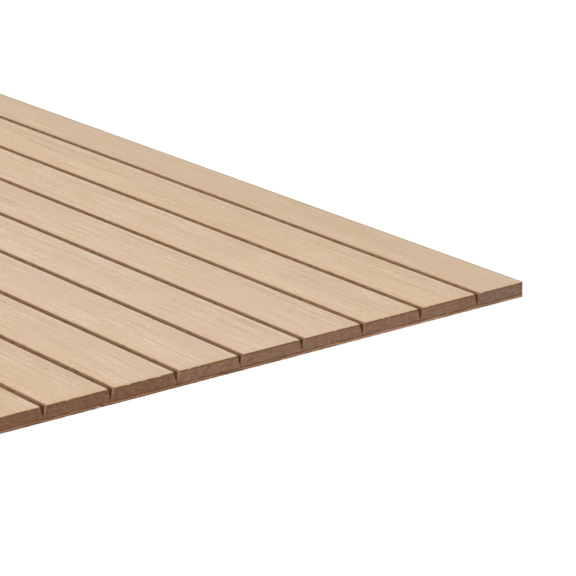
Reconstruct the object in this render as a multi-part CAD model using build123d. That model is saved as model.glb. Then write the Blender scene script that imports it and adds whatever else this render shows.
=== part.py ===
from build123d import *

import os

# Tambour panel: a sheet of narrow wood-faced slats on one flexible backing.
#
# The sheet is made as such panels are. Three flat layers are glued up, a thin face
# veneer on a fibreboard core on a backing sheet. V grooves are then cut side by side
# through the veneer and the core, and stop at the backing, which holds the slats
# together and lets the panel bend from one slat to the next.
#
# Frame: X runs across the slats, Y along them, Z up out of the face. The origin is
# at the middle of the panel's underside.

# Driving dimensions, in millimetres
SLAT_PITCH = 19.05  # from one groove's centre line to the next
FULL_SLATS = 30  # slats with a groove on both sides
EDGE_SLAT_WIDTH = 15.875  # from the outermost groove's centre line to the trimmed edge
PANEL_LENGTH = 1219.2  # along the slats

VENEER_THICKNESS = 0.5
CORE_THICKNESS = 2.7
BACKING_THICKNESS = 0.95

GROOVE_MOUTH = 2.0  # width at the face, between the eased arrises
GROOVE_ROOT = 0.12  # width of the slit that the cutter's tip leaves at the backing
ARRIS_EASE = 0.1  # sanded off each long arris of the veneer, at 45 degrees
CORNER_RADIUS = 0.5  # rubbed round at the sheet's four corners
CUTTER_OVERRUN = 5.0  # how far the cutter runs past the material

# Worked out from them
GROOVES = FULL_SLATS + 1
PANEL_WIDTH = FULL_SLATS * SLAT_PITCH + 2 * EDGE_SLAT_WIDTH
CORE_BOTTOM = BACKING_THICKNESS
CORE_TOP = CORE_BOTTOM + CORE_THICKNESS
FACE = CORE_TOP + VENEER_THICKNESS


def layer(bottom, thickness):
    """One whole layer of the glued sheet, before it is grooved."""
    outline = RectangleRounded(PANEL_WIDTH, PANEL_LENGTH, CORNER_RADIUS)
    return Pos(0, 0, bottom) * extrude(outline, amount=thickness)


def groove_section():
    """The V cutter's outline across the slats, centred on the groove."""
    root = GROOVE_ROOT / 2
    mouth = GROOVE_MOUTH / 2
    right_side = [
        (root, CORE_BOTTOM),
        (mouth - ARRIS_EASE, FACE - ARRIS_EASE),
        (mouth, FACE),
        (mouth, FACE + CUTTER_OVERRUN),
    ]
    left_side = [(-x, z) for x, z in reversed(right_side)]
    return Plane.XZ * make_face(Polyline(*right_side, *left_side, close=True))


def groove_cutters():
    """Every groove's cutter, run past both ends of the panel."""
    reach = PANEL_LENGTH / 2 + CUTTER_OVERRUN
    cutter = extrude(groove_section(), amount=reach, both=True)
    first = -(GROOVES - 1) / 2 * SLAT_PITCH
    return [Pos(first + number * SLAT_PITCH, 0, 0) * cutter for number in range(GROOVES)]


def grooved(board, cutters):
    """The strips that a board falls into when it is grooved, from left to right."""
    return (board - cutters).solids().sort_by(Axis.X)


def export(shape, name):
    """Writes one named piece of the panel."""
    export_step(shape, os.path.join("parts", name + ".step"))


def main():
    os.makedirs("parts", exist_ok=True)
    cutters = groove_cutters()

    core_slats = grooved(layer(CORE_BOTTOM, CORE_THICKNESS), cutters)
    for number, slat in enumerate(core_slats, start=1):
        export(slat, f"core_slat_{number:02d}")

    veneer_strips = grooved(layer(CORE_TOP, VENEER_THICKNESS), cutters)
    export(Compound(children=veneer_strips), "face_veneer")

    export(layer(0, BACKING_THICKNESS), "backing_sheet")


main()
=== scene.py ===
"""Tambour panel: the finish of its veneered slats, its fibreboard core and its paper backing.

Lengths are in metres, in the panel's own frame: X across the slats, Y along them, Z up out of the
face, with the origin at the middle of the underside.
"""

import logging
import math
from collections.abc import Callable, Iterable, Iterator
from contextlib import contextmanager
from dataclasses import dataclass
from enum import Enum
from functools import reduce
from itertools import pairwise

import bmesh
import bpy
from mathutils import Euler, Matrix, Vector


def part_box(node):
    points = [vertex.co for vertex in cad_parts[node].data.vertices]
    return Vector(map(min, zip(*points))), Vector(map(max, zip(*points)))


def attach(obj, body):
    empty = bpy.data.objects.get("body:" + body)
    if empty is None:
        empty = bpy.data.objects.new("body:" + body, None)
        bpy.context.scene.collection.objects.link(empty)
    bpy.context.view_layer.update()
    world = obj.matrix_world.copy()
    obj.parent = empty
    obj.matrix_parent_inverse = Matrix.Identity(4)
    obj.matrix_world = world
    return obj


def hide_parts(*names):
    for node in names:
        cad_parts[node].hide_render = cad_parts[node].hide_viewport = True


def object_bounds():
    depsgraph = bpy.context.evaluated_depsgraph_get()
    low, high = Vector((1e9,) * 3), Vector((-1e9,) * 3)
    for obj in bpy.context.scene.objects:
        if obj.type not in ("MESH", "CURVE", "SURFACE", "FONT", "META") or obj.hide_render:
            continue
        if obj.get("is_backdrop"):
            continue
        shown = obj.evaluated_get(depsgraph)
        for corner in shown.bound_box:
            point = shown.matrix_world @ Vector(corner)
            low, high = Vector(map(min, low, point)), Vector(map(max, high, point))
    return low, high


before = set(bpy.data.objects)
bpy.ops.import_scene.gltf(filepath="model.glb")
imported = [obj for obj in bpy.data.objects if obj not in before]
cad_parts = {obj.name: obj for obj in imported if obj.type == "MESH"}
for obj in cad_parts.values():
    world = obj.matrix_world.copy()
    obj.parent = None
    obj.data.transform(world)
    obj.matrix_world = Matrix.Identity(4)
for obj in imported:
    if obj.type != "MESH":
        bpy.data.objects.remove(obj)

log = logging.getLogger("tambour_panel")

MM = 0.001
NEAR = 0.001 * MM  # places that are closer together than this are one place
SHARP_OVER = 35  # degrees between two faces, past which their edge isn't smoothed

Corner = tuple[float, float, float]
Colour = tuple[float, float, float]
Socket = bpy.types.NodeSocket
Given = Socket | float | Colour


class Slot(Enum):
    """The record's material slots."""

    VENEER = "face_veneer"
    CORE = "core_board"
    BACKING = "backing_paper"


class Wall(Enum):
    """How a slat ends sideways."""

    GROOVED = "grooved"
    TRIMMED = "trimmed"


@dataclass(frozen=True)
class Panel:
    """The panel's main lines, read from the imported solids.

    Attributes:
        half_width: Half of the panel's width across the slats.
        half_length: Half of its length along them.
        core_low: Height of the core's underside, where the grooves end.
        core_high: Height of the core's upper side.
        face: Height of the veneered face.
        pitch: From one groove's centre line to the next.
        grooves: How many grooves there are.
        root_gap: Half of the slit at the bottom of a groove.
        MOUTH_GAP: Half of a groove's width at the face, over its eased arrises.
        EASE: How much is sanded off each long arris of the veneer.
        CORNER: The radius of the panel's four corners.
    """

    half_width: float
    half_length: float
    core_low: float
    core_high: float
    face: float
    pitch: float
    grooves: int
    root_gap: float

    MOUTH_GAP = 1.0 * MM
    EASE = 0.1 * MM
    CORNER = 0.5 * MM

    @classmethod
    def measured(cls) -> "Panel":
        """Reads the panel's main lines from the frame.

        Returns:
            The main lines.
        """
        cores = sorted(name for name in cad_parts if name.startswith("core_slat_"))
        first_low, first_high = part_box(cores[1])
        second_low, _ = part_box(cores[2])
        veneer_low, veneer_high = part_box("face_veneer")
        return cls(
            half_width=veneer_high.x,
            half_length=veneer_high.y,
            core_low=first_low.z,
            core_high=veneer_low.z,
            face=veneer_high.z,
            pitch=second_low.x - first_low.x,
            grooves=len(cores) - 1,
            root_gap=(second_low.x - first_high.x) / 2,
        )

    def groove_line(self, number: int) -> float:
        """X of a groove's centre line, with the grooves counted from 0 at the left."""
        return (number - (self.grooves - 1) / 2) * self.pitch

    def gap(self, height: float) -> float:
        """Half of a groove's width at a height.

        Args:
            height: Z in the panel's frame.

        Returns:
            The distance from the groove's centre line to its wall, without the eased arris.
        """
        rise = self.face - self.EASE - self.core_low
        spread = self.MOUTH_GAP - self.EASE - self.root_gap
        return self.root_gap + spread * (height - self.core_low) / rise

    def on_end(self, at: Vector) -> bool:
        """Whether a point lies on one of the two cut ends."""
        return abs(at.y) > self.half_length - NEAR


@dataclass(frozen=True)
class Span:
    """One slat's place across the panel.

    Attributes:
        number: The slat, counted from 1 at the left.
        left: X of its left groove's centre line, or of the panel's left edge.
        right: X of its right groove's centre line, or of the panel's right edge.
        walls: How it ends on the left and on the right.
    """

    number: int
    left: float
    right: float
    walls: tuple[Wall, Wall]

    @property
    def middle(self) -> float:
        """X halfway between its two sides."""
        return (self.left + self.right) / 2


def spans(panel: Panel) -> list[Span]:
    """Finds the slats' places.

    Args:
        panel: The panel's main lines.

    Returns:
        One place for each slat, from left to right.
    """
    sides = [-panel.half_width, *map(panel.groove_line, range(panel.grooves)), panel.half_width]
    walls = [Wall.TRIMMED, *[Wall.GROOVED] * panel.grooves, Wall.TRIMMED]
    pairs = zip(pairwise(sides), pairwise(walls))
    return [Span(number, *between, ends) for number, (between, ends) in enumerate(pairs, start=1)]


class Bench:
    """The modelling moves that every piece is made with."""

    FAR_ACROSS = 5 * MM  # split_across divides the edges that run further than this

    @staticmethod
    def clear() -> None:
        """Deselects everything."""
        for item in bpy.context.selected_objects:
            item.select_set(False)

    @classmethod
    def take(cls, piece: bpy.types.Object) -> None:
        """Makes one piece the only one selected, and the active one.

        Args:
            piece: The piece.
        """
        cls.clear()
        piece.select_set(True)
        bpy.context.view_layer.objects.active = piece

    @classmethod
    def block(cls, name: str, low: Corner, high: Corner) -> bpy.types.Object:
        """Adds a rectangular blank between two corners, with its place in its mesh.

        Args:
            name: The piece's name.
            low: Its lowest corner.
            high: Its highest corner.

        Returns:
            The blank.
        """
        cls.clear()
        size = Vector(high) - Vector(low)
        middle = (Vector(high) + Vector(low)) / 2
        bpy.ops.mesh.primitive_cube_add(size=1, location=middle)
        blank = bpy.context.object
        blank.name = name
        blank.data.name = name
        blank.scale = size
        bpy.ops.object.transform_apply(location=True, rotation=False, scale=True)
        return blank

    @classmethod
    @contextmanager
    def editing(cls, piece: bpy.types.Object) -> Iterator[None]:
        """Opens a piece in edit mode with nothing selected, and closes it again.

        Args:
            piece: The piece.

        Returns:
            The stretch of work in which it is open.
        """
        cls.take(piece)
        bpy.ops.object.mode_set(mode="EDIT")
        bpy.ops.mesh.select_all(action="DESELECT")
        try:
            yield
        finally:
            bpy.ops.object.mode_set(mode="OBJECT")

    @staticmethod
    def pick_edges(wanted: Callable[[Vector, Vector], bool]) -> int:
        """Selects, in edit mode, the edges whose two ends pass a test.

        Args:
            wanted: A test of an edge's two ends.

        Returns:
            How many edges are selected.
        """
        mesh = bpy.context.edit_object.data
        shape = bmesh.from_edit_mesh(mesh)
        bpy.ops.mesh.select_mode(type="EDGE")
        for edge in shape.edges:
            edge.select_set(wanted(edge.verts[0].co, edge.verts[1].co))
        bmesh.update_edit_mesh(mesh)
        return sum(edge.select for edge in shape.edges)

    @staticmethod
    def pick_points(wanted: Callable[[Vector], bool]) -> None:
        """Selects, in edit mode, the points that pass a test.

        Args:
            wanted: A test of a point's place.
        """
        mesh = bpy.context.edit_object.data
        shape = bmesh.from_edit_mesh(mesh)
        bpy.ops.mesh.select_mode(type="VERT")
        for point in shape.verts:
            point.select_set(wanted(point.co))
        bmesh.update_edit_mesh(mesh)

    @staticmethod
    def cut_across(place: Corner, normal: Corner) -> None:
        """Cuts the whole piece, in edit mode, along a plane.

        Args:
            place: A point on the plane.
            normal: The plane's normal.
        """
        bpy.ops.mesh.select_all(action="SELECT")
        bpy.ops.mesh.bisect(plane_co=place, plane_no=normal)
        bpy.ops.mesh.select_all(action="DESELECT")

    @classmethod
    def cut_ends(cls, panel: Panel, depths: Iterable[float]) -> None:
        """Cuts the whole piece across, in edit mode, near both of the panel's cut ends.

        Args:
            panel: The panel's main lines.
            depths: How far from the ends it is cut.
        """
        for depth in depths:
            for y in (panel.half_length - depth, depth - panel.half_length):
                cls.cut_across((0, y, 0), (0, 1, 0))

    @classmethod
    def split_across(cls, nearest: float, parts: int) -> None:
        """Divides, in edit mode, the edges that run far across the panel near its cut ends.

        Args:
            nearest: How far from the panel's middle they are at least, along Y.
            parts: How many parts each of them becomes.
        """
        cls.pick_edges(
            lambda a, b: abs(a.x - b.x) > cls.FAR_ACROSS and min(abs(a.y), abs(b.y)) > nearest
        )
        bpy.ops.mesh.subdivide(number_cuts=parts - 1)

    @classmethod
    def round_corners(cls, panel: Panel) -> None:
        """Rounds, in edit mode, those of the panel's four upright corners that the piece has.

        Args:
            panel: The panel's main lines.
        """
        side = panel.half_width - NEAR
        found = cls.pick_edges(
            lambda a, b: min(abs(a.x), abs(b.x)) > side
            and panel.on_end(a)
            and panel.on_end(b)
            and abs(a.z - b.z) > NEAR
        )
        if not found:
            return
        bpy.ops.mesh.bevel(offset=panel.CORNER, segments=4, profile=0.5)
        for x in (panel.CORNER - panel.half_width, panel.half_width - panel.CORNER):
            cls.cut_across((x, 0, 0), (1, 0, 0))

    @staticmethod
    def copied(pattern: bpy.types.Object, name: str, shift: float) -> bpy.types.Object:
        """Copies a piece with its own mesh, and slides the copy's mesh across the panel.

        Args:
            pattern: The piece to copy.
            name: The copy's name.
            shift: How far the copy goes along X.

        Returns:
            The copy.
        """
        copy = pattern.copy()
        copy.data = pattern.data.copy()
        copy.name = name
        copy.data.name = name
        copy.data.transform(Matrix.Translation((shift, 0, 0)))
        bpy.context.scene.collection.objects.link(copy)
        return copy

    @classmethod
    def finish(cls, piece: bpy.types.Object) -> None:
        """Applies a piece's modifiers and smooths its shading, but not over its sharp edges.

        Args:
            piece: The piece.
        """
        cls.take(piece)
        for modifier in list(piece.modifiers):
            bpy.ops.object.modifier_apply(modifier=modifier.name)
        piece.vertex_groups.clear()
        bpy.ops.object.shade_smooth_by_angle(angle=math.radians(SHARP_OVER))

    @staticmethod
    def coat(
        piece: bpy.types.Object,
        first: bpy.types.Material,
        second: bpy.types.Material,
        takes_second: Callable[[float], bool],
    ) -> None:
        """Gives a piece two materials and shares its faces out between them.

        Args:
            piece: The piece.
            first: The material of the faces that fail the test.
            second: The material of those that pass it.
            takes_second: A test of how far up a face points, from -1 to 1.
        """
        piece.data.materials.append(first)
        piece.data.materials.append(second)
        for side in piece.data.polygons:
            side.material_index = int(takes_second(side.normal.z))


@dataclass(frozen=True)
class Wear:
    """Unevenness that a tool leaves, always into the piece and never out of it.

    Attributes:
        name: What it is called.
        depth: The most that it takes off.
        grain: The width of its lumps.
        contrast: How much harder than a soft cloud it is.
    """

    name: str
    depth: float
    grain: float
    contrast: float

    def lay_on(self, piece: bpy.types.Object, share: Callable[[Vector], float]) -> None:
        """Adds the unevenness to a piece, as a modifier.

        Args:
            piece: The piece.
            share: How much of it a point gets, from 0 to 1, by the point's place.
        """
        group = piece.vertex_groups.new(name=self.name)
        for point in piece.data.vertices:
            group.add([point.index], share(point.co), "REPLACE")
        cloud = bpy.data.textures.get(self.name) or bpy.data.textures.new(self.name, "CLOUDS")
        cloud.noise_scale = self.grain
        cloud.noise_depth = 2
        cloud.contrast = self.contrast
        cloud.use_clamp = True
        worn = piece.modifiers.new(self.name, "DISPLACE")
        worn.texture = cloud
        worn.texture_coords = "LOCAL"
        worn.direction = "NORMAL"
        worn.mid_level = 0
        worn.strength = -self.depth
        worn.vertex_group = group.name


@dataclass(frozen=True)
class Cloud:
    """Noise whose lumps have a given size.

    Attributes:
        cell: A lump's length along X, Y and Z, in millimetres.
        detail: How many finer layers it has.
        roughness: How strong those are.
        shift: Moves it along Z, so that two clouds differ.
    """

    cell: Corner
    detail: float = 2
    roughness: float = 0.5
    shift: float = 0


@dataclass(frozen=True)
class Fade:
    """A smooth change of one value while another, a distance or a place, goes from here to there.

    Attributes:
        here: Where it begins, in millimetres.
        there: Where it ends.
        first: The value up to its beginning.
        last: The value from its end on.
    """

    here: float
    there: float
    first: float = 0.0
    last: float = 1.0


class Nodes:
    """A node tree that is being put together."""

    def __init__(self, tree: bpy.types.NodeTree) -> None:
        """Empties a tree, to build in it."""
        self.tree = tree
        self.tree.nodes.clear()

    def feed(self, socket: Socket, value: Given) -> None:
        """Links a socket to another one, or sets it to a constant.

        Args:
            socket: The socket to feed.
            value: The socket that feeds it, or the constant.
        """
        if isinstance(value, Socket):
            self.tree.links.new(value, socket)
        elif isinstance(value, tuple) and socket.type == "RGBA":
            socket.default_value = (*value, 1)
        else:
            socket.default_value = value

    def add(self, kind: str, *values: Given, **settings: str | bool) -> bpy.types.Node:
        """Adds a node.

        Args:
            kind: Its type, without the ShaderNode that they all begin with.
            values: What its first inputs are fed.
            settings: Its other properties.

        Returns:
            The node.
        """
        node = self.tree.nodes.new(f"ShaderNode{kind}")
        for name, value in settings.items():
            setattr(node, name, value)
        for socket, value in zip(node.inputs, values):
            self.feed(socket, value)
        return node

    def feed_named(self, node: bpy.types.Node, **inputs: Given) -> None:
        """Feeds a node's inputs, named with underscores for spaces."""
        for name, value in inputs.items():
            self.feed(node.inputs[name.replace("_", " ")], value)

    def math(self, operation: str, *values: Given) -> Socket:
        """One step of arithmetic."""
        return self.add("Math", *values, operation=operation).outputs["Value"]

    def seen_directly(self) -> Socket:
        """Finds out where the camera sees a surface, directly, in gloss or through glass.

        Returns:
            1 where it does, and 0 elsewhere.
        """
        rays = self.add("LightPath").outputs
        passed_on = self.math("MAXIMUM", rays["Is Glossy Ray"], rays["Is Transmission Ray"])
        return self.math("MAXIMUM", rays["Is Camera Ray"], passed_on)


class Recipe(Nodes):
    """A material that is being put together from nodes."""

    def __init__(self, name: str) -> None:
        """Starts an empty material with one shader and the piece's own coordinates.

        Args:
            name: The material's name.
        """
        self.material = bpy.data.materials.new(name)
        self.material.use_nodes = True
        super().__init__(self.material.node_tree)
        self.shader = self.add("BsdfPrincipled")
        self.add("OutputMaterial", self.shader.outputs["BSDF"])
        self.place = self.add("TexCoord").outputs["Object"]

    def facing(self) -> Socket:
        """Which way the surface faces, without its bumps and smoothing."""
        return self.add("NewGeometry").outputs["True Normal"]

    def total(self, values: Iterable[Given]) -> Socket:
        """The sum of two values or more."""
        return reduce(lambda so_far, value: self.math("ADD", so_far, value), values)

    def inward(self, place: Socket, reach: float) -> Socket:
        """How far in a place on an axis is from the nearer of two sides, at reach and -reach."""
        return self.math("SUBTRACT", reach, self.math("ABSOLUTE", place))

    def split(self, vector: Socket) -> tuple[Socket, ...]:
        """A vector's X, Y and Z."""
        return tuple(self.add("SeparateXYZ", vector).outputs)

    def joined(self, x: Given, y: Given, z: Given) -> Socket:
        """The vector with the given X, Y and Z."""
        return self.add("CombineXYZ", x, y, z).outputs["Vector"]

    def noise(self, cloud: Cloud, place: Socket | None = None) -> Socket:
        """Reads a cloud of noise.

        Args:
            cloud: The cloud.
            place: Where it is read, or None for the piece's own coordinates.

        Returns:
            A value about 0.5, mostly between 0.25 and 0.75.
        """
        scaled = self.add("Mapping", place or self.place, (0, 0, cloud.shift))
        self.feed_named(scaled, Scale=tuple(1 / (length * MM) for length in cloud.cell))
        node = self.add("TexNoise", scaled.outputs["Vector"])
        self.feed_named(node, Scale=1, Detail=cloud.detail, Roughness=cloud.roughness)
        return node.outputs["Fac"]

    def ramp(self, value: Given, low: float, high: float, start: float = 0.0, end: float = 1.0) -> Socket:
        """Goes smoothly from start to end while a value goes from low to high, and no further."""
        node = self.add("MapRange", value, low, high, start, end, interpolation_type="SMOOTHSTEP")
        return node.outputs["Result"]

    def fade(self, value: Given, change: Fade) -> Socket:
        """What a fade makes of a value."""
        return self.ramp(value, change.here * MM, change.there * MM, change.first, change.last)

    def blend(self, factor: Given, first: Given, second: Given, way: str = "MIX") -> Socket:
        """Mixes two colours.

        Args:
            factor: How much of the second one.
            first: A socket or a colour.
            second: A socket or a colour.
            way: The Mix node's blend type.

        Returns:
            The mixed colour's socket.
        """
        node = self.add("Mix", factor, data_type="RGBA", blend_type=way, clamp_factor=True)
        colours = [socket for socket in node.inputs if socket.type == "RGBA"]
        for socket, value in zip(colours, (first, second)):
            self.feed(socket, value)
        return next(socket for socket in node.outputs if socket.type == "RGBA")

    def tinted(self, colour: Given, tint: Given, share: Given = 1.0) -> Socket:
        """A colour multiplied by a tint, or by a share of it."""
        return self.blend(share, colour, tint, "MULTIPLY")

    def bump(self, height: Socket, depth: float) -> None:
        """Roughens the surface.

        Args:
            height: The relief, from 0 to 1.
            depth: How deep it is.
        """
        node = self.add("Bump")
        self.feed_named(node, Strength=1, Distance=depth, Height=height)
        self.set(Normal=node.outputs["Normal"])

    def set(self, **inputs: Given) -> None:
        """Feeds the shader's inputs, named with underscores for spaces."""
        self.feed_named(self.shader, **inputs)


@dataclass(frozen=True)
class VeneerFace:
    """Pale, fine, straight-grained wood, sanded and left raw.

    Attributes:
        pale: The wood between the grain lines.
        dark: The grain lines.
        warm: What the yellower patches are tinted with.
        pink: What the pinker patches are tinted with.
        amber: The warm line that sanding has left on the arrises and the ends.
        nick: The small chips along the grooves.
        painted_edge_shade: What it is multiplied by along the trimmed sides, which hands have greyed.
        yellowed: What the yellowest stretches across the sheet are multiplied by.
        bleached: What the palest ones are multiplied by.
        leaf: Width of one leaf of the veneer, a whole number of slats.
        stretch: From one pale stretch across the sheet to the next.
        palest: X of the middle of a pale stretch.
    """

    pale: Colour = (0.804, 0.620, 0.446)
    dark: Colour = (0.616, 0.436, 0.276)
    warm: Colour = (0.710, 0.515, 0.315)
    pink: Colour = (0.715, 0.505, 0.360)
    amber: Colour = (0.740, 0.480, 0.285)
    nick: Colour = (0.42, 0.25, 0.14)
    # rubbed: What it is multiplied by along the trimmed sides: painted shade.
    painted_edge_shade: Colour = (0.80, 0.89, 0.98)
    yellowed: Colour = (0.990, 0.978, 0.945)
    bleached: Colour = (1.010, 1.022, 1.045)
    leaf: float = 190.5 * MM
    stretch: float = 130 * MM
    palest: float = 213 * MM

    LEAF_SLIP = 3.7  # how much further along the trunk each leaf was cut than the one before
    LEAF_TURN, FIRST_TURN = 2.4, -0.09  # of the wave that the leaves' tones follow, in radians
    SWAY = Cloud((60, 160, 1000), detail=1)
    SWAY_WIDTH = 6 * MM
    PORES = Cloud((0.62, 19, 1000))  # the finest lines
    FLECKS = Cloud((0.95, 1.8, 1000), detail=1, shift=33)  # the shortest ones
    THREADS = Cloud((1.2, 75, 1000), shift=3)
    RINGS = Cloud((2.2, 130, 1000), shift=5)
    BANDS = Cloud((8, 260, 1000), shift=9)  # the broadest ones
    STRENGTHS = (0.22, 0.16, 0.165, 0.10, 0.06)  # of those five, in that order
    BOLDNESS = Cloud((9, 30, 1000), shift=21)  # where all of them are bolder, and where fainter
    PATCHES = Cloud((7, 18, 1000), detail=3, shift=13)
    BLUSHES = Cloud((12, 30, 1000), detail=3, shift=17)
    WOBBLE = Cloud((120, 300, 1000), detail=1, shift=25)  # how the pale stretches wander
    CHIPS = Cloud((0.5, 2.2, 1000), shift=29)
    PORE_DEPTH = 0.02 * MM

    # By the distance from a groove's mouth:
    SANDED = Fade(0, 1.1, -0.1, 0.0)  # added to the grain's darkness, on both sides of it
    BARED = Fade(0, 1.8, -0.25, 0.0)  # added to it again, on its left
    ARRIS_GLOW = Fade(0, 1.5, 0.6, 0.0)  # the amber, on its right
    NICKING = Fade(0.1, 0.5, 0.6, 0.0)  # the small chips
    # By the distance from the panel's edges:
    END_GLOW = Fade(3.0, 0.2, 0.0, 0.45)  # the amber, at a cut end
    EDGE_SHADE = Fade(1.2, 0.4)  # the painted shade tint, at a trimmed side

    def grain(self, mix: Recipe, pores: Socket, plain: Socket, swayed: Socket) -> Socket:
        """Lays the grain's lines of every width over each other.

        Args:
            mix: The material's recipe.
            pores: The finest lines.
            plain: A point's place in its own leaf.
            swayed: That place, moved as the grain wanders.

        Returns:
            How much darker than the plain wood it is, or paler where it is under 0.
        """
        layers = [pores, mix.noise(self.FLECKS, plain)]
        layers += [mix.noise(cloud, swayed) for cloud in (self.THREADS, self.RINGS, self.BANDS)]
        lines = mix.total(
            mix.ramp(layer, 0.36, 0.66, -strength, strength)
            for layer, strength in zip(layers, self.STRENGTHS)
        )
        return mix.math("MULTIPLY", lines, mix.ramp(mix.noise(self.BOLDNESS, plain), 0.3, 0.7, 0.65, 1.2))

    def drift(self, mix: Recipe, x: Socket, plain: Socket) -> Socket:
        """Makes the tint that changes slowly across the sheet.

        Args:
            mix: The material's recipe.
            x: X of a point.
            plain: Its place in its own leaf.

        Returns:
            What the colour is multiplied by.
        """
        across = mix.math("MULTIPLY_ADD", mix.noise(self.WOBBLE, plain), self.stretch / 2, x)
        past = mix.math("SUBTRACT", across, self.palest + self.stretch / 4)
        turn = mix.math("MULTIPLY", mix.math("DIVIDE", past, self.stretch), 2 * math.pi)
        return mix.blend(mix.ramp(mix.math("COSINE", turn), -1, 1), self.yellowed, self.bleached)

    def material(self, panel: Panel) -> bpy.types.Material:
        """Makes the material.

        Args:
            panel: The panel's main lines.

        Returns:
            The material for the face of a strip.
        """
        mix = Recipe("veneer_face")
        x, y, z = mix.split(mix.place)
        leaf_number = mix.math("FLOOR", mix.math("DIVIDE", mix.math("ADD", x, self.leaf / 2), self.leaf))
        turn = mix.math("MULTIPLY_ADD", leaf_number, self.LEAF_TURN, self.FIRST_TURN)
        leaf_tone = mix.math("SINE", turn)
        own_y = mix.math("ADD", y, mix.math("MULTIPLY", leaf_number, self.LEAF_SLIP))
        plain = mix.joined(x, own_y, z)
        sway = mix.math("SUBTRACT", mix.noise(self.SWAY, plain), 0.5)
        swayed_x = mix.math("ADD", x, mix.math("MULTIPLY", sway, self.SWAY_WIDTH))
        swayed = mix.joined(swayed_x, own_y, z)
        pores = mix.noise(self.PORES, swayed)

        past_first = mix.math("SUBTRACT", x, panel.groove_line(0))
        past_groove = mix.math("WRAP", past_first, panel.pitch, 0.0)
        to_groove = mix.math("SUBTRACT", panel.pitch, past_groove)
        nearest_groove = mix.math("PINGPONG", past_first, panel.pitch / 2)
        past_mouth, to_mouth, nearest_mouth = (
            mix.math("SUBTRACT", distance, panel.MOUTH_GAP)
            for distance in (past_groove, to_groove, nearest_groove)
        )
        lines = self.grain(mix, pores, plain, swayed)
        lines = mix.math("MULTIPLY", lines, mix.ramp(leaf_tone, -1, 1, 0.65, 1.0))
        paler = (mix.fade(nearest_mouth, self.SANDED), mix.fade(to_mouth, self.BARED))
        colour = mix.blend(mix.total((lines, *paler, 0.5)), self.pale, self.dark)

        yellow = mix.ramp(mix.noise(self.PATCHES, plain), 0.48, 0.68, 0.0, 0.62)
        colour = mix.blend(yellow, colour, self.warm)
        at_end = mix.fade(mix.inward(y, panel.half_length), self.END_GLOW)
        at_arris = mix.fade(past_mouth, self.ARRIS_GLOW)
        colour = mix.blend(mix.math("MAXIMUM", at_end, at_arris), colour, self.amber)
        blush = mix.ramp(mix.noise(self.BLUSHES, plain), 0.47, 0.66, 0.0, 0.58)
        colour = mix.blend(blush, colour, self.pink)

        colour = mix.tinted(colour, self.drift(mix, x, plain))
        colour = mix.tinted(colour, mix.ramp(leaf_tone, -1, 1, 0.94, 1.0))
        # Painted shade: greyer along the trimmed sides.
        edge_shade = mix.fade(mix.inward(x, panel.half_width), self.EDGE_SHADE)
        colour = mix.tinted(colour, self.painted_edge_shade, edge_shade)
        nicks = mix.ramp(mix.noise(self.CHIPS, plain), 0.52, 0.68)
        at_mouth = mix.fade(nearest_mouth, self.NICKING)
        colour = mix.blend(mix.math("MULTIPLY", nicks, at_mouth), colour, self.nick)

        mix.set(Base_Color=colour, Roughness=mix.ramp(pores, 0.3, 0.7, 0.62, 0.74))
        mix.set(Specular_IOR_Level=0.35)
        mix.bump(pores, self.PORE_DEPTH)
        return mix.material


@dataclass(frozen=True)
class VeneerEdge:
    """The veneer's cut sides and ends, darker than its face.

    Attributes:
        side: Its colour along the grooves.
        end: Its colour on the cut ends, across the grain.
        pore: The open pores in both.
    """

    side: Colour = (0.465, 0.275, 0.157)
    end: Colour = (0.35, 0.188, 0.092)
    pore: Colour = (0.21, 0.11, 0.055)

    FIBRES = Cloud((0.3, 5, 0.12))
    FIBRE_DEPTH = 0.02 * MM
    TEARS = Cloud((0.5, 2.5, 0.5), shift=4)

    def material(self) -> bpy.types.Material:
        """Makes the material.

        Returns:
            The material for the walls and ends of a strip.
        """
        mix = Recipe("veneer_edge")
        _, facing, _ = mix.split(mix.facing())
        is_end = mix.ramp(mix.math("ABSOLUTE", facing), 0.5, 0.8)
        fibres = mix.noise(self.FIBRES)
        colour = mix.blend(is_end, self.side, self.end)
        colour = mix.blend(mix.ramp(fibres, 0.3, 0.7, 0.0, 0.4), colour, self.pore)
        colour = mix.blend(mix.ramp(mix.noise(self.TEARS), 0.48, 0.66, 0.0, 0.55), colour, self.pore)
        mix.set(Base_Color=colour, Roughness=0.8, Specular_IOR_Level=0.25)
        mix.bump(fibres, self.FIBRE_DEPTH)
        return mix.material


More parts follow.
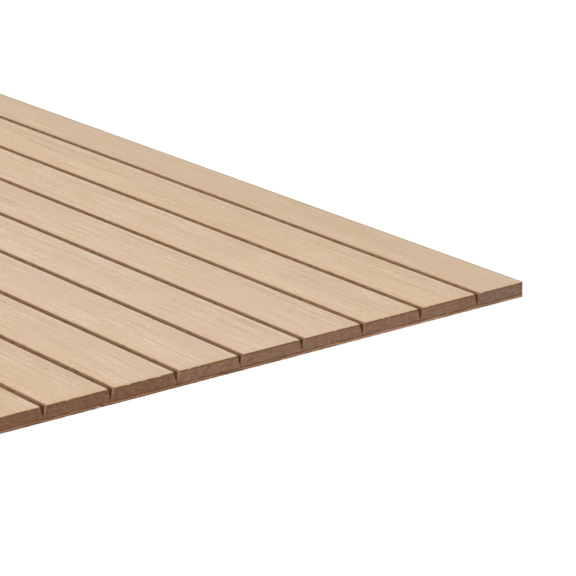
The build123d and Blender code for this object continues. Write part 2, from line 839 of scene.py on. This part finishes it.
@dataclass(frozen=True)
class Fibreboard:
    """Raw medium-density fibreboard.

    Attributes:
        name: Which of its surfaces it is.
        plain: Its main colour.
        dark: The darker fibres.
        light: The few pale ones, and the painted light beside the cut ends.
        stain: What its warmer, darker stretches are multiplied by.
        burn_and_shade: Its colour deep down in a groove: some burn, and painted shade.
        painted_end_light: How much of the light colour is painted beside the cut ends, as painted light.
        deep_shade_and_burn: How much darker it is deep down in a groove: painted shade, with some burn.
        end_groove_shade: How much darker it is low down just inside the cut ends: painted shade.
        painted_side_shade: What it is multiplied by at the trimmed sides and corners: painted shade.
        greyed: What it is multiplied by on the last slat on the right.
        sheen: How much light it reflects.
    """

    name: str
    plain: Colour
    dark: Colour
    light: Colour
    stain: Colour = (0.84, 0.76, 0.68)
    burn_and_shade: Colour = (0.115, 0.050, 0.018)
    painted_end_light: float = 0.0
    deep_shade_and_burn: float = 0.0
    end_groove_shade: float = 0.0
    painted_side_shade: Colour = (1.0, 1.0, 1.0)
    greyed: Colour = (1.0, 1.0, 1.0)
    sheen: float = 0.15

    FUZZ = Cloud((0.28, 0.28, 0.2), detail=3, roughness=0.6)
    FUZZ_DEPTH = 0.05 * MM
    CLOTS = Cloud((1.5, 3, 0.5), shift=4)
    SAW_MARKS = Cloud((0.35, 4, 2.4), shift=8)
    SPECKS = Cloud((0.6, 0.6, 0.4), detail=0, shift=12)
    TONE = Cloud((90, 300, 1000), detail=1, shift=16)
    CLEANER = Fade(187, 193, -0.05, 0.085)  # how much less stained it is, by X
    SIDE_SHADE = Fade(1.2, 0.3)  # painted shade, by the distance from a trimmed side
    GREYING = Fade(0, 2)  # by the distance past the last groove
    DEEP_SHADE_AND_BURN = Fade(1.0, 1.8)  # painted shade with some burn, by the depth under the face
    END_GROOVE_SHADE = Fade(3.4, 2.2)  # painted shade, by the distance from a cut end
    END_GROOVE_SHADE_DOWN = Fade(0.4, 0.8)  # by the depth under the face
    PAINTED_END_LIGHT = Fade(0.9, 0.25)  # painted light, by the distance from a cut end
    PAINTED_END_LIGHT_ACROSS = Fade(205, 265, 1.0, 0.45)  # by X

    def material(self, panel: Panel) -> bpy.types.Material:
        """Makes the material.

        Args:
            panel: The panel's main lines.

        Returns:
            The material of one surface of a core slat.
        """
        mix = Recipe(self.name)
        x, y, z = mix.split(mix.place)
        fuzz = mix.noise(self.FUZZ)
        fibres = mix.ramp(fuzz, 0.35, 0.7, 0.0, 0.38)
        for cloud, strength in ((self.CLOTS, 0.50), (self.SAW_MARKS, 0.16)):
            fibres = mix.math("ADD", fibres, mix.ramp(mix.noise(cloud), 0.35, 0.68, end=strength))
        colour = mix.blend(fibres, self.plain, self.dark)
        # Painted shade at the trimmed sides and corners.
        side_shade = mix.fade(mix.inward(x, panel.half_width), self.SIDE_SHADE)
        colour = mix.tinted(colour, self.painted_side_shade, side_shade)
        past_last_groove = mix.math("SUBTRACT", x, panel.groove_line(panel.grooves - 1))
        colour = mix.tinted(colour, self.greyed, mix.fade(past_last_groove, self.GREYING))
        stained = mix.math("SUBTRACT", mix.noise(self.TONE), mix.fade(x, self.CLEANER))
        colour = mix.tinted(colour, self.stain, mix.ramp(stained, 0.42, 0.52))
        colour = mix.blend(mix.ramp(mix.noise(self.SPECKS), 0.78, 0.84, 0.0, 0.3), colour, self.light)

        down = mix.math("SUBTRACT", panel.face, z)
        to_end = mix.inward(y, panel.half_length)
        # Painted shade, with some burn, deep down in a groove.
        deep_shade_and_burn = mix.math("MULTIPLY", mix.fade(down, self.DEEP_SHADE_AND_BURN), self.deep_shade_and_burn)
        # Painted shade low down in a groove, just inside the cut ends.
        end_groove_shade = mix.math("MULTIPLY", mix.fade(to_end, self.END_GROOVE_SHADE), self.end_groove_shade)
        end_groove_shade = mix.math("MULTIPLY", end_groove_shade, mix.fade(down, self.END_GROOVE_SHADE_DOWN))
        colour = mix.blend(mix.math("MAXIMUM", deep_shade_and_burn, end_groove_shade), colour, self.burn_and_shade)
        # Painted light on the groove walls just inside the cut ends.
        painted_end_light = mix.math("MULTIPLY", mix.fade(to_end, self.PAINTED_END_LIGHT), self.painted_end_light)
        painted_end_light = mix.math("MULTIPLY", painted_end_light, mix.fade(x, self.PAINTED_END_LIGHT_ACROSS))
        colour = mix.blend(painted_end_light, colour, self.light)
        mix.set(Base_Color=colour, Roughness=0.9, Specular_IOR_Level=self.sheen)
        mix.bump(fuzz, self.FUZZ_DEPTH)
        return mix.material


@dataclass(frozen=True)
class BackingPaper:
    """Brown paper sheets pressed with resin, with a glue line on top and a darker skin below.

    Attributes:
        top: Height of the backing's upper side.
        near_end: Y of the end with the chip.
        chip_place: X of the middle of that chip.
        under: Its underside.
        skin: The lowest layer, where it is cut.
        bright: The lighter layer over that.
        glue: The highest layer.
        gap: The painted shadow in the hollow of the chip.
        warmed: What its warmer stretches are multiplied by.
        greyed: What its greyer ones are multiplied by.
    """

    top: float
    near_end: float
    chip_place: float
    under: Colour = (0.30, 0.175, 0.10)
    skin: Colour = (0.16, 0.090, 0.050)
    bright: Colour = (0.68, 0.385, 0.215)
    glue: Colour = (0.25, 0.130, 0.070)
    gap: Colour = (0.045, 0.026, 0.015)
    warmed: Colour = (0.98, 0.925, 0.895)
    greyed: Colour = (1.0, 1.05, 1.15)

    WANDER = Cloud((4.5, 4.5, 1000), detail=4, roughness=0.6)  # how the layers go up and down
    FIBRES = Cloud((0.5, 0.5, 0.12), shift=6)
    FIBRE_DEPTH = 0.04 * MM
    MOTTLE = Cloud((14, 14, 1000), detail=3, shift=10)  # where it is darker
    # By X: how much more mottle there is, how much thinner the skin is, and how grey it all is
    MORE_MOTTLE = (Fade(200, 235, 0.02, -0.09), Fade(280, 292, 0.0, 0.14), Fade(258, 272, 0.0, -0.05))
    THINNER_SKIN = (Fade(226, 242, -0.15, 0.12), Fade(178, 168, 0.0, 0.13))
    GREYNESS = Fade(170, 300)
    CHIP_ALONG = Fade(1.2, 0.6)  # where the chip is, by the distance from the near end
    CHIP_UP = Fade(0.62, 0.42)  # and by the height
    ASIDES = (0.45 * MM, -0.75 * MM)  # from its middle to its painted shadow and to its torn, light fibres
    SPOT = Fade(0.8, 0.4, 0.0, 0.9)  # either of them, by the distance from its own middle

    def material(self) -> bpy.types.Material:
        """Makes the material.

        Returns:
            The material of the backing.
        """
        mix = Recipe("backing_paper")
        x, y, z = mix.split(mix.place)
        _, _, facing = mix.split(mix.facing())
        fibres = mix.noise(self.FIBRES)
        mottle = mix.total([mix.noise(self.MOTTLE), *(mix.fade(x, more) for more in self.MORE_MOTTLE)])
        level = mix.math("DIVIDE", z, self.top)
        level = mix.math("ADD", level, mix.ramp(mix.noise(self.WANDER), 0.3, 0.7, -0.17, 0.17))
        colour = mix.blend(mix.ramp(mottle, 0.4, 0.62, 0.0, 0.75), self.bright, self.under)
        colour = mix.blend(mix.ramp(level, 0.66, 0.80), colour, self.glue)
        over_skin = mix.total([level, *(mix.fade(x, thinner) for thinner in self.THINNER_SKIN)])
        colour = mix.blend(mix.ramp(over_skin, 0.30, 0.18, 0.0, 0.8), colour, self.skin)
        colour = mix.blend(mix.ramp(fibres, 0.45, 0.75, 0.0, 0.35), colour, self.skin)
        below = mix.blend(mix.ramp(mottle, 0.3, 0.7, 0.0, 0.3), self.under, self.skin)
        below = mix.blend(mix.ramp(fibres, 0.4, 0.7, 0.0, 0.3), below, self.bright)
        colour = mix.blend(mix.ramp(facing, -0.5, -0.8), colour, below)
        colour = mix.tinted(colour, mix.blend(mix.fade(x, self.GREYNESS), self.warmed, self.greyed))

        from_end = mix.math("SUBTRACT", y, self.near_end)
        at_chip = mix.math("MULTIPLY", mix.fade(from_end, self.CHIP_ALONG), mix.fade(z, self.CHIP_UP))
        # The hollow gets a painted shadow; the torn fibres keep their own light colour.
        for aside, tone in zip(self.ASIDES, (self.gap, self.bright)):
            distance = mix.math("ABSOLUTE", mix.math("SUBTRACT", x, self.chip_place + aside))
            colour = mix.blend(mix.math("MULTIPLY", at_chip, mix.fade(distance, self.SPOT)), colour, tone)
        mix.set(Base_Color=colour, Roughness=0.85, Specular_IOR_Level=0.2)
        mix.bump(fibres, self.FIBRE_DEPTH)
        return mix.material


@dataclass
class SlatMaker:
    """Makes one layer of the slats: a strip for each slat, between two heights.

    Attributes:
        panel: The panel's main lines.
        title: What the pieces are called, before their number.
        low: Height of the layer's underside.
        high: Height of its upper side.
        eased: Whether its long upper arrises are eased.
        columns: How many columns the mesh has across a strip at its ends.
        rows: How many rows its cut end has.
        end_cuts: Distances from a cut end at which the mesh is cut across.
        stations: How many stretches it has along a strip.
    """

    panel: Panel
    title: str
    low: float
    high: float
    eased: bool
    columns: int
    rows: int
    end_cuts: tuple[float, ...] = (0.3 * MM, 0.9 * MM, 2.4 * MM)
    stations: int = 100

    @staticmethod
    def lengthwise(a: Vector, b: Vector) -> bool:
        """Whether an edge between two points runs along the slats."""
        return abs(a.x - b.x) < NEAR and abs(a.z - b.z) < NEAR and abs(a.y - b.y) > MM

    def tilt_walls(self, span: Span) -> None:
        """Moves the long edges of a blank to where the grooves' walls stand, in edit mode.

        Args:
            span: The blank's slat.
        """
        half_way = (self.low + self.high) / 2
        for outside, wall, inward in zip((span.left, span.right), span.walls, (1, -1)):
            if wall is Wall.TRIMMED:
                continue
            for height in (self.low, self.high):
                Bench.pick_points(
                    lambda at: abs(at.x - outside) < NEAR and (at.z > half_way) == (height > half_way)
                )
                bpy.ops.transform.translate(value=(inward * self.panel.gap(height), 0, 0))

    def ease_arrises(self) -> None:
        """Rounds the long upper arrises over, in edit mode."""
        Bench.pick_edges(lambda a, b: self.lengthwise(a, b) and min(a.z, b.z) > self.high - NEAR)
        bpy.ops.mesh.bevel(offset=self.panel.EASE * math.sqrt(0.5), segments=2, profile=0.5)

    def divide(self) -> None:
        """Cuts the mesh finely at the two ends and evenly in between, in edit mode."""
        Bench.cut_ends(self.panel, self.end_cuts)
        inner, innermost = (self.panel.half_length - depth for depth in self.end_cuts[-2:])
        Bench.pick_edges(
            lambda a, b: self.lengthwise(a, b) and max(abs(a.y), abs(b.y)) < innermost + NEAR
        )
        bpy.ops.mesh.subdivide(number_cuts=self.stations - 1)
        Bench.split_across(inner - NEAR, self.columns)

    def shape(self, span: Span) -> bpy.types.Object:
        """Models a strip at its own place, and then slides it to the panel's middle.

        Args:
            span: Its slat.

        Returns:
            The strip, before its wear, to be copied for every slat with the same walls.
        """
        end = self.panel.half_length
        strip = Bench.block(self.title, (span.left, -end, self.low), (span.right, end, self.high))
        with Bench.editing(strip):
            self.tilt_walls(span)
            Bench.round_corners(self.panel)
            if self.eased:
                self.ease_arrises()
            for row in range(1, self.rows):
                height = self.low + (self.high - self.low) * row / self.rows
                Bench.cut_across((0, 0, height), (0, 0, 1))
            self.divide()
        strip.data.transform(Matrix.Translation((-span.middle, 0, 0)))
        return strip

    def strips(self) -> Iterator[tuple[Span, bpy.types.Object]]:
        """Makes the strips from left to right, as copies of one strip for each kind of slat.

        Returns:
            Each slat with its strip, in place, before its wear.
        """
        patterns: dict[tuple[Wall, Wall], bpy.types.Object] = {}
        for span in spans(self.panel):
            if span.walls not in patterns:
                patterns[span.walls] = self.shape(span)
            name = f"{self.title}_{span.number:02d}"
            yield span, Bench.copied(patterns[span.walls], name, span.middle)
        for pattern in patterns.values():
            bpy.data.objects.remove(pattern)


@dataclass
class Slats:
    """The slats: a core of fibreboard and a strip of veneer on each.

    Attributes:
        panel: The panel's main lines.
        face: The finish of the veneer's face.
        edge: The finish of its sides and ends.
        sawn: The finish of the core's trimmed sides and ends.
        routed: The finish of its sides in the grooves.
    """

    panel: Panel
    face: VeneerFace = VeneerFace()
    edge: VeneerEdge = VeneerEdge()
    sawn: Fibreboard = Fibreboard(
        name="fibreboard_sawn",
        plain=(0.500, 0.290, 0.185),
        dark=(0.250, 0.136, 0.084),
        light=(0.60, 0.47, 0.38),
        # painted shade at the trimmed sides
        painted_side_shade=(0.79, 0.95, 1.12),
        greyed=(0.92, 0.99, 1.07),
    )
    routed: Fibreboard = Fibreboard(
        name="fibreboard_routed",
        plain=(0.440, 0.252, 0.143),
        dark=(0.160, 0.087, 0.049),
        light=(0.56, 0.37, 0.235),
        stain=(1.0, 1.0, 1.0),
        # painted light beside the cut ends, and painted shade deep in the grooves
        painted_end_light=0.8,
        deep_shade_and_burn=0.85,
        end_groove_shade=0.9,
        sheen=0.04,
    )

    VENEER_WEAR = Wear("veneer_tear", 0.2 * MM, 0.5 * MM, 1.6)
    BELOW_ARRIS = 0.25  # how much of that wear the veneer's cut end has below its upper arris
    CORE_WEAR = Wear("core_fuzz", 0.07 * MM, 0.3 * MM, 1.2)
    LEAST_UP = 0.1  # the grooves' walls face up by more than this
    MOST_UP = 0.5  # and by less than this, but the veneer's face by more

    def tear(self, at: Vector) -> float:
        """How much of the veneer's wear a point gets, from 0 to 1."""
        share = 1.0 if at.z > self.panel.face - NEAR else self.BELOW_ARRIS
        return share if self.panel.on_end(at) else 0.0

    def veneer(self) -> list[bpy.types.Object]:
        """Makes the veneer strips.

        Returns:
            The strips, from left to right.
        """
        low, high = self.panel.core_high, self.panel.face
        maker = SlatMaker(self.panel, "veneer_strip", low, high, eased=True, columns=70, rows=2)
        face, edge = self.face.material(self.panel), self.edge.material()
        made = []
        for _, strip in maker.strips():
            self.VENEER_WEAR.lay_on(strip, self.tear)
            Bench.finish(strip)
            Bench.coat(strip, face, edge, lambda up: up <= self.MOST_UP)
            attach(strip, "root")
            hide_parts("face_veneer")
            made.append(strip)
        return made

    def cores(self) -> list[bpy.types.Object]:
        """Makes the core slats.

        Returns:
            The slats, from left to right.
        """
        low, high = self.panel.core_low, self.panel.core_high
        maker = SlatMaker(self.panel, "slat_core", low, high, eased=False, columns=60, rows=9)
        sawn, routed = self.sawn.material(self.panel), self.routed.material(self.panel)
        made = []
        for span, core in maker.strips():
            self.CORE_WEAR.lay_on(core, lambda at: float(self.panel.on_end(at)))
            Bench.finish(core)
            Bench.coat(core, sawn, routed, lambda up: self.LEAST_UP < up < self.MOST_UP)
            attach(core, "root")
            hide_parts(f"core_slat_{span.number:02d}")
            made.append(core)
        return made


@dataclass
class Backing:
    """The flexible backing sheet under all the slats.

    Attributes:
        panel: The panel's main lines.
        levels: Shares of its height at which its mesh is cut level.
        end_cuts: Distances from a cut end at which it is cut across.
        end_band: How far in from a cut end its mesh is divided into columns.
        columns: How many columns there are, and each of those again.
        chip_place: X of the middle of the chip in its lower edge, at the near end.
        chip_width: The chip's width.
        chip_height: Its height.
        chip_cuts: Where its mesh is cut there, in shares of the chip's width from its middle.
        chip_roof: How far from its middle the chip has its full height, in such a share.
    """

    panel: Panel
    levels: tuple[float, ...] = (0.6, 0.8)
    end_cuts: tuple[float, ...] = (0.3 * MM, 1.0 * MM)
    end_band: float = 0.4 * MM
    columns: tuple[int, int] = (30, 30)
    chip_place: float = 168.3 * MM
    chip_width: float = 1.8 * MM
    chip_height: float = 0.14 * MM
    chip_cuts: tuple[float, ...] = (-0.5, -0.35, 0, 0.35, 0.5)
    chip_roof: float = 0.4

    WEAR = Wear("backing_fray", 0.16 * MM, 0.9 * MM, 1.5)

    def chip(self) -> None:
        """Breaks the small chip out of the lower edge, in edit mode."""
        for share in self.chip_cuts:
            Bench.cut_across((self.chip_place + share * self.chip_width, 0, 0), (1, 0, 0))
        reach, inside = self.chip_roof * self.chip_width, self.end_band - self.panel.half_length
        Bench.pick_points(lambda at: abs(at.x - self.chip_place) < reach and at.y < inside and at.z < NEAR)
        bpy.ops.transform.translate(value=(0, 0, self.chip_height))

    def fray(self, at: Vector) -> float:
        """How much of its wear a point gets, from 0 to 1."""
        return float(self.panel.on_end(at) and at.z < self.panel.core_low - NEAR)

    def make(self) -> bpy.types.Object:
        """Makes the backing sheet.

        Returns:
            The sheet.
        """
        side, end, top = self.panel.half_width, self.panel.half_length, self.panel.core_low
        sheet = Bench.block("backing_paper", (-side, -end, 0), (side, end, top))
        with Bench.editing(sheet):
            Bench.round_corners(self.panel)
            for level in self.levels:
                Bench.cut_across((0, 0, top * level), (0, 0, 1))
            Bench.cut_ends(self.panel, self.end_cuts)
            for columns in self.columns:
                Bench.split_across(end - self.end_band, columns)
            self.chip()
        self.WEAR.lay_on(sheet, self.fray)
        Bench.finish(sheet)
        sheet.data.materials.append(BackingPaper(top, -end, self.chip_place).material())
        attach(sheet, "root")
        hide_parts("backing_sheet")
        return sheet


@dataclass
class Studio:
    """The white floor, the soft light and the camera.

    Attributes:
        eye: Where the camera stands.
        tilt: How far it is turned up from looking straight down, in degrees.
        roll: Its lean to the side, in degrees.
        heading: Its turn from looking along +Y, in degrees, to the left if over zero.
        lens: Its focal length, in millimetres.
        sensor: Its sensor's width, in millimetres.
        sight: The nearest and the farthest that it sees.
        floor_size: How long and wide the floor is.
        floor_tone: How much of the light on the floor it reflects.
        floor_glow: How much white is added to it where it is seen.
        sky: The strength of the light that comes from all round.
        key_place: Where the large lamp hangs.
        key_size: How long and wide it is.
        key_power: Its power, in watts.
    """

    eye: Corner = (-202.6 * MM, -1161.4 * MM, 246.63 * MM)
    tilt: float = 71.87
    roll: float = 0.25
    heading: float = -37.80
    lens: float = 188.1
    sensor: float = 36.0
    sight: tuple[float, float] = (0.05, 50)
    floor_size: float = 60
    floor_tone: float = 0.7
    floor_glow: float = 0.6
    sky: float = 0.55
    key_place: Corner = (-1.6, -0.4, 3.0)
    key_size: float = 2.2
    key_power: float = 60.0

    WHITE = (1.0, 1.0, 1.0)

    def camera(self) -> None:
        """Sets up the camera at the photograph's place and makes it the scene's."""
        Bench.clear()
        bpy.ops.object.camera_add(location=self.eye)
        camera = bpy.context.object
        camera.name = "camera"
        turns = (math.radians(angle) for angle in (self.tilt, self.roll, self.heading))
        camera.rotation_euler = Euler(tuple(turns), "XYZ")
        camera.data.sensor_width = self.sensor
        camera.data.lens = self.lens
        camera.data.clip_start, camera.data.clip_end = self.sight
        bpy.context.scene.camera = camera

    def floor(self) -> None:
        """Lays the white floor, which keeps the panel's shadow and otherwise looks white."""
        Bench.clear()
        bpy.ops.mesh.primitive_plane_add(size=self.floor_size, location=(0, 0, 0))
        floor = bpy.context.object
        floor.name = "floor"
        material = bpy.data.materials.new("white_floor")
        material.use_nodes = True
        nodes = Nodes(material.node_tree)
        matt = nodes.add("BsdfDiffuse", (self.floor_tone,) * 3)
        strength = nodes.math("MULTIPLY", nodes.seen_directly(), self.floor_glow)
        glow = nodes.add("Emission", self.WHITE, strength)
        both = nodes.add("AddShader", matt.outputs["BSDF"], glow.outputs["Emission"])
        nodes.add("OutputMaterial", both.outputs["Shader"])
        floor.data.materials.append(material)
        floor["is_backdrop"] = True

    def surroundings(self) -> None:
        """Sets the light that comes from all round, and the white that the camera sees."""
        world = bpy.data.worlds.new("studio")
        world.use_nodes = True
        bpy.context.scene.world = world
        nodes = Nodes(world.node_tree)
        light = nodes.add("Background", self.WHITE, self.sky)
        white = nodes.add("Background", self.WHITE, 1)
        backgrounds = (light.outputs["Background"], white.outputs["Background"])
        choice = nodes.add("MixShader", nodes.seen_directly(), *backgrounds)
        nodes.add("OutputWorld", choice.outputs["Shader"])

    def lamps(self) -> None:
        """Hangs the large soft lamp, up on the left."""
        Bench.clear()
        bpy.ops.object.light_add(type="AREA", location=self.key_place)
        key = bpy.context.object
        key.name = "key_lamp"
        key.data.shape = "SQUARE"
        key.data.size = self.key_size
        key.data.energy = self.key_power
        key.rotation_euler = (-Vector(self.key_place)).to_track_quat("-Z", "Y").to_euler()

    def set_up(self) -> None:
        """Sets up everything that isn't the panel."""
        bpy.context.scene.view_settings.view_transform = "Standard"
        self.camera()
        self.floor()
        self.surroundings()
        self.lamps()


def main() -> None:
    """Builds the panel's pieces and the studio, and reports each piece."""
    logging.basicConfig(level=logging.INFO, format="%(name)s: %(message)s")
    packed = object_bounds()
    Bench.clear()
    panel = Panel.measured()
    Studio().set_up()
    slats = Slats(panel)
    pieces = [*slats.cores(), *slats.veneer(), Backing(panel).make()]
    for piece in pieces:
        log.info("%s: %d faces", piece.name, len(piece.data.polygons))
    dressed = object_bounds()
    boxes = {"cad": packed, "visual": dressed}
    {name: [list(corner) for corner in box] for name, box in boxes.items()}


if __name__ == "__main__":
    main()
